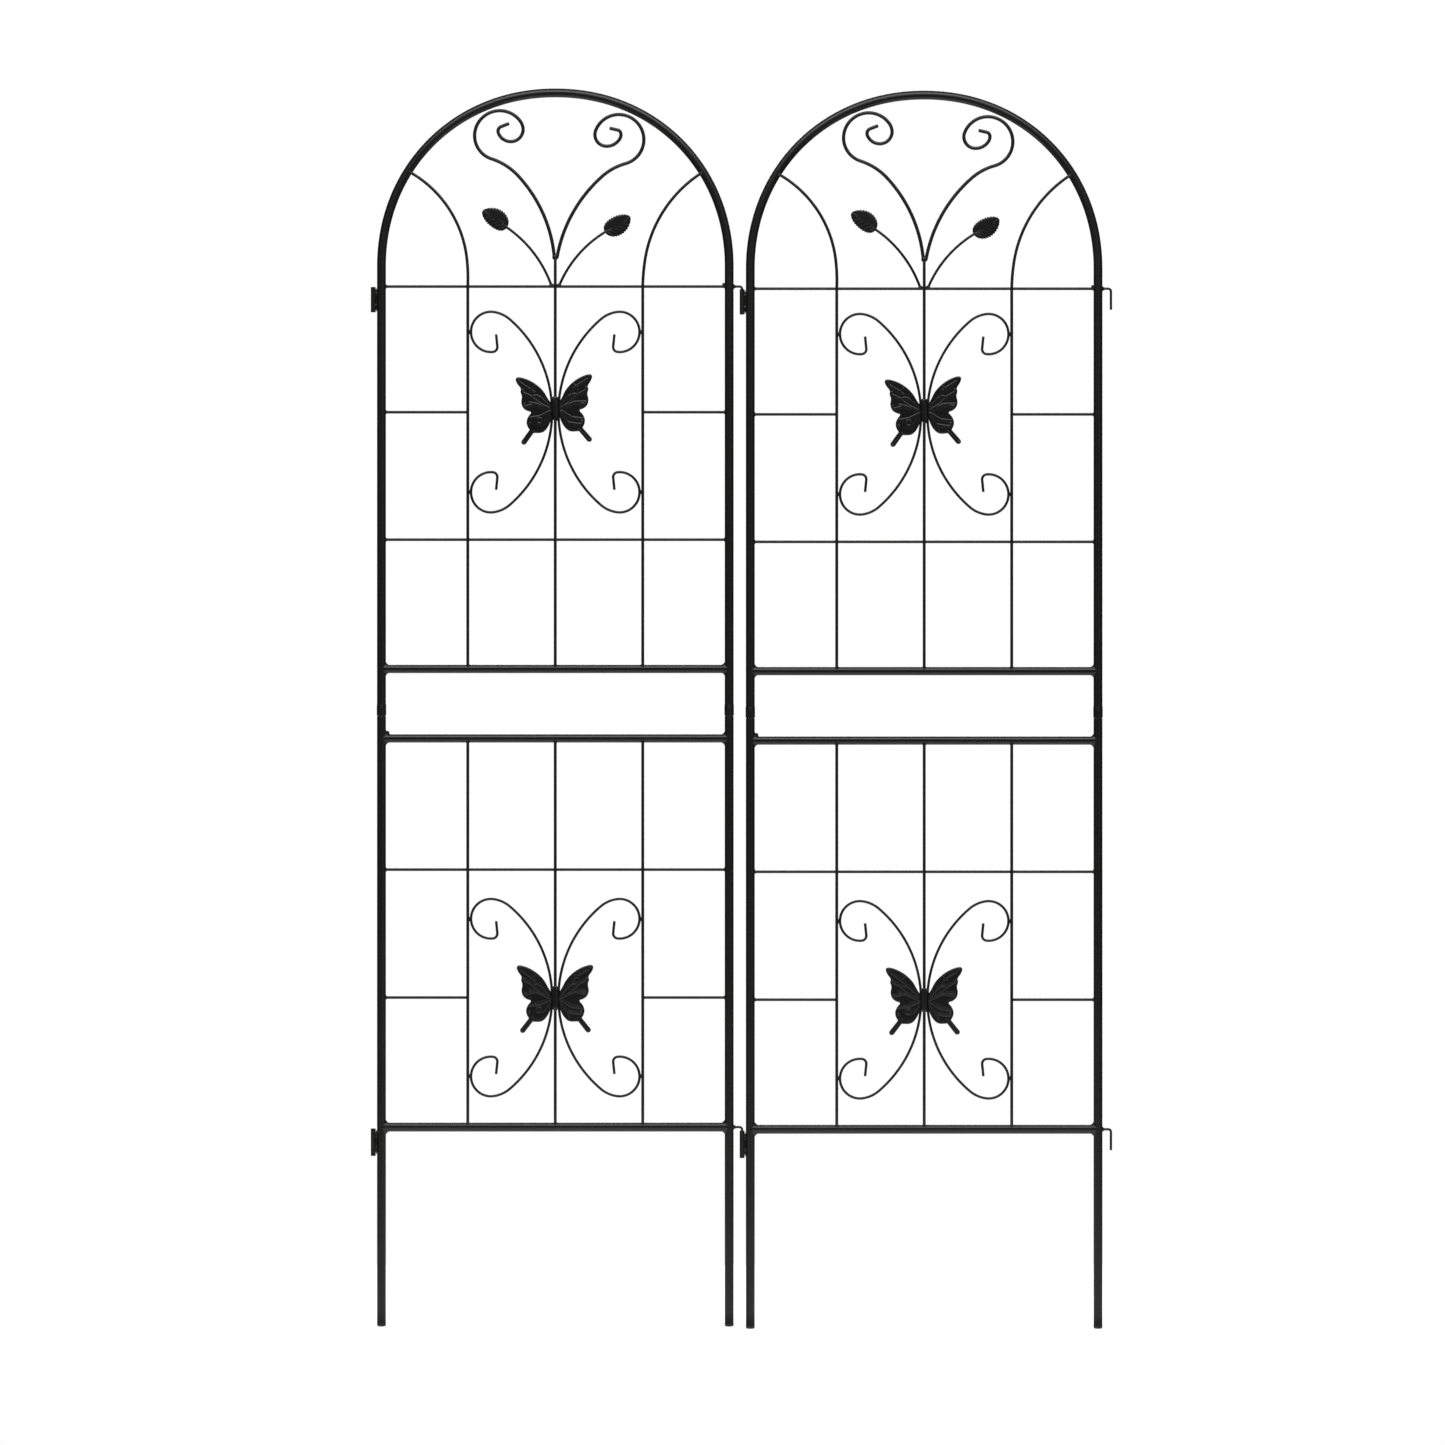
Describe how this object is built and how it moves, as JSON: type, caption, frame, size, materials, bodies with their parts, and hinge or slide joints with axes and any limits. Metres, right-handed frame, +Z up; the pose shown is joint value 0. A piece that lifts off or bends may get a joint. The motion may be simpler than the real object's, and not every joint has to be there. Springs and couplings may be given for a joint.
{
  "type": "metal trellis arch",
  "caption": "Black metal garden trellis of arched panels hooked side by side, with wire grids, curled wires, leaf sprays and stamped butterflies.",
  "frame": {"origin": "on the axis of the hinge between the two panels, at the height of the lowest feet", "axes": "+Z up, front of the panels and their butterflies towards -Y, panels side by side along X"},
  "size_m": [1.056, 0.017, 1.7666],
  "materials": {
    "tube_coat": "satin black powder coat on steel tube",
    "bar_coat": "satin black powder coat on steel tube, a little worn lighter along the top",
    "wire_coat": "satin black powder coat on round steel wire",
    "sheet_coat": "satin black powder coat on stamped sheet",
    "screw_coat": "semi-gloss black"
  },
  "bodies": {
    "left_panel": {"left_panel_arch_tube": "tube_coat", "left_panel_bottom_crossbar": "bar_coat", "left_panel_crown_scrolls": "wire_coat", "left_panel_joint_crossbar": "bar_coat", "left_panel_leaf_spray_left": "sheet_coat", "left_panel_leaf_spray_right": "sheet_coat", "left_panel_leg_left": "tube_coat", "left_panel_leg_right": "tube_coat", "left_panel_lower_butterfly": "sheet_coat", "left_panel_lower_centre_wire": "wire_coat", "left_panel_lower_curl_left": "wire_coat", "left_panel_lower_curl_right": "wire_coat", "left_panel_lower_hook": "wire_coat", "left_panel_lower_rail": "wire_coat", "left_panel_lower_sleeve": "tube_coat", "left_panel_lower_wire_left": "wire_coat", "left_panel_lower_wire_right": "wire_coat", "left_panel_mid_rail": "wire_coat", "left_panel_screw_left": "screw_coat", "left_panel_screw_right": "screw_coat", "left_panel_top_rail": "wire_coat", "left_panel_upper_butterfly": "sheet_coat", "left_panel_upper_centre_wire": "wire_coat", "left_panel_upper_crossbar": "bar_coat", "left_panel_upper_curl_left": "wire_coat", "left_panel_upper_curl_right": "wire_coat", "left_panel_upper_hook": "wire_coat", "left_panel_upper_sleeve": "tube_coat", "left_panel_upper_wire_left": "wire_coat", "left_panel_upper_wire_right": "wire_coat"},
    "right_panel": {"right_panel_arch_tube": "tube_coat", "right_panel_bottom_crossbar": "bar_coat", "right_panel_crown_scrolls": "wire_coat", "right_panel_joint_crossbar": "bar_coat", "right_panel_leaf_spray_left": "sheet_coat", "right_panel_leaf_spray_right": "sheet_coat", "right_panel_leg_left": "tube_coat", "right_panel_leg_right": "tube_coat", "right_panel_lower_butterfly": "sheet_coat", "right_panel_lower_centre_wire": "wire_coat", "right_panel_lower_curl_left": "wire_coat", "right_panel_lower_curl_right": "wire_coat", "right_panel_lower_hook": "wire_coat", "right_panel_lower_rail": "wire_coat", "right_panel_lower_sleeve": "tube_coat", "right_panel_lower_wire_left": "wire_coat", "right_panel_lower_wire_right": "wire_coat", "right_panel_mid_rail": "wire_coat", "right_panel_screw_left": "screw_coat", "right_panel_screw_right": "screw_coat", "right_panel_top_rail": "wire_coat", "right_panel_upper_butterfly": "sheet_coat", "right_panel_upper_centre_wire": "wire_coat", "right_panel_upper_crossbar": "bar_coat", "right_panel_upper_curl_left": "wire_coat", "right_panel_upper_curl_right": "wire_coat", "right_panel_upper_hook": "wire_coat", "right_panel_upper_sleeve": "tube_coat", "right_panel_upper_wire_left": "wire_coat", "right_panel_upper_wire_right": "wire_coat"}
  },
  "joints": [
    {"name": "panel_hinge", "type": "hinge", "parent": "left_panel", "child": "right_panel", "pos_m": [0, 0, 1.4513], "axis": [0, 0, 1], "range_deg": [-125, 130]}
  ]
}
